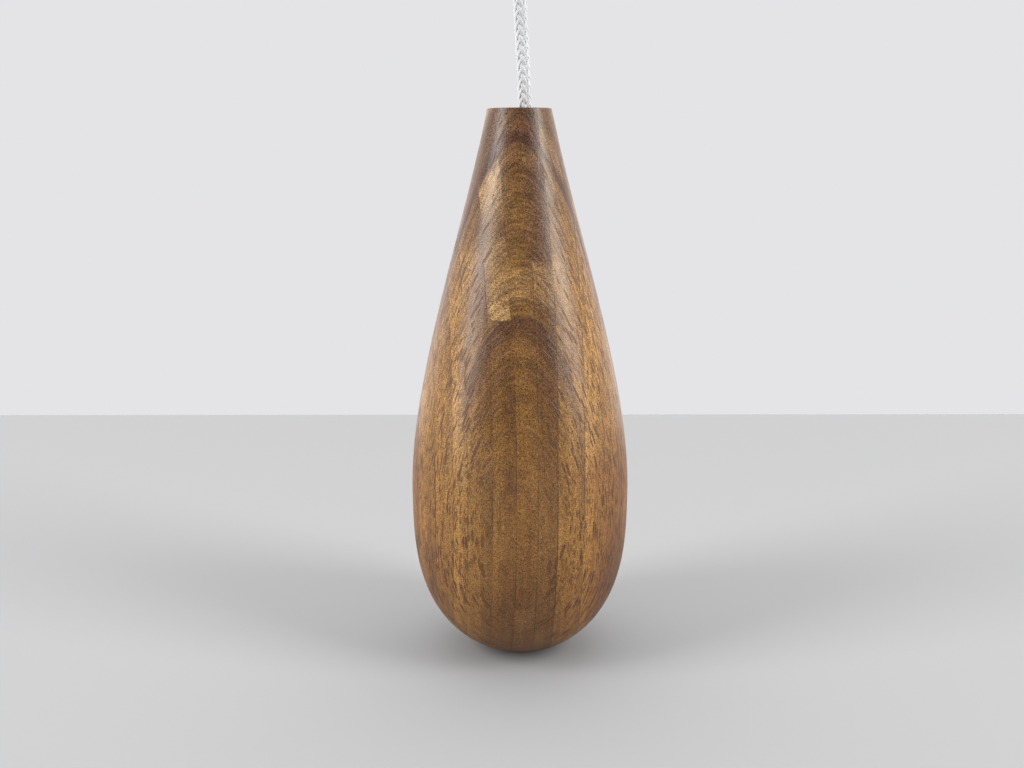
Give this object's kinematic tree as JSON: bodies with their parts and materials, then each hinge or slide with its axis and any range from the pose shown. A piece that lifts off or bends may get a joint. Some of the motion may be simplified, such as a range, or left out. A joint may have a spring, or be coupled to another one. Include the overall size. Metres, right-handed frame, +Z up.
{
  "type": "plumb-bob light pull",
  "caption": "Turned wooden teardrop pull or bob with a flat top, through bore and knot recess, hanging on a white braided cord tied in a loop.",
  "frame": {"origin": "the point inside the top of the hanging loop where a hook bears, on the body's axis", "axes": "+Z up along the cord and the body's axis, X across the loop's eye in the loop's own plane, Y through the eye"},
  "size_m": [0.0364, 0.0364, 0.1382],
  "materials": {
    "beech": "satin oiled beech with brown heart",
    "braided_cord": "white braided polyester, slight sheen"
  },
  "bodies": {
    "hanging_loop": {"hanging_loop": "braided_cord"},
    "loop_knot": {"loop_knot": "braided_cord", "loop_tail": "braided_cord"},
    "cord": {"cord": "braided_cord"},
    "stopper_knot": {"stopper_knot": "braided_cord", "stopper_tail": "braided_cord"},
    "pull": {"wood_body": "beech"}
  },
  "joints": [
    {"name": "swing_front_back", "type": "hinge", "parent": "hanging_loop", "child": "loop_knot", "pos_m": [0, 0, -0.0192], "axis": [1, 0, 0], "range_deg": [-45, 45]},
    {"name": "swing_side_to_side", "type": "hinge", "parent": "loop_knot", "child": "cord", "pos_m": [0, 0, -0.0192], "axis": [0, 1, 0], "range_deg": [-45, 45]},
    {"name": "cord_twist", "type": "hinge", "parent": "cord", "child": "stopper_knot", "pos_m": [0, 0, -0.1163], "axis": [0, 0, 1], "continuous": true},
    {"name": "pull_slide", "type": "slide", "parent": "stopper_knot", "child": "pull", "axis": [0, 0, 1], "range_m": [0, 0.016]}
  ]
}
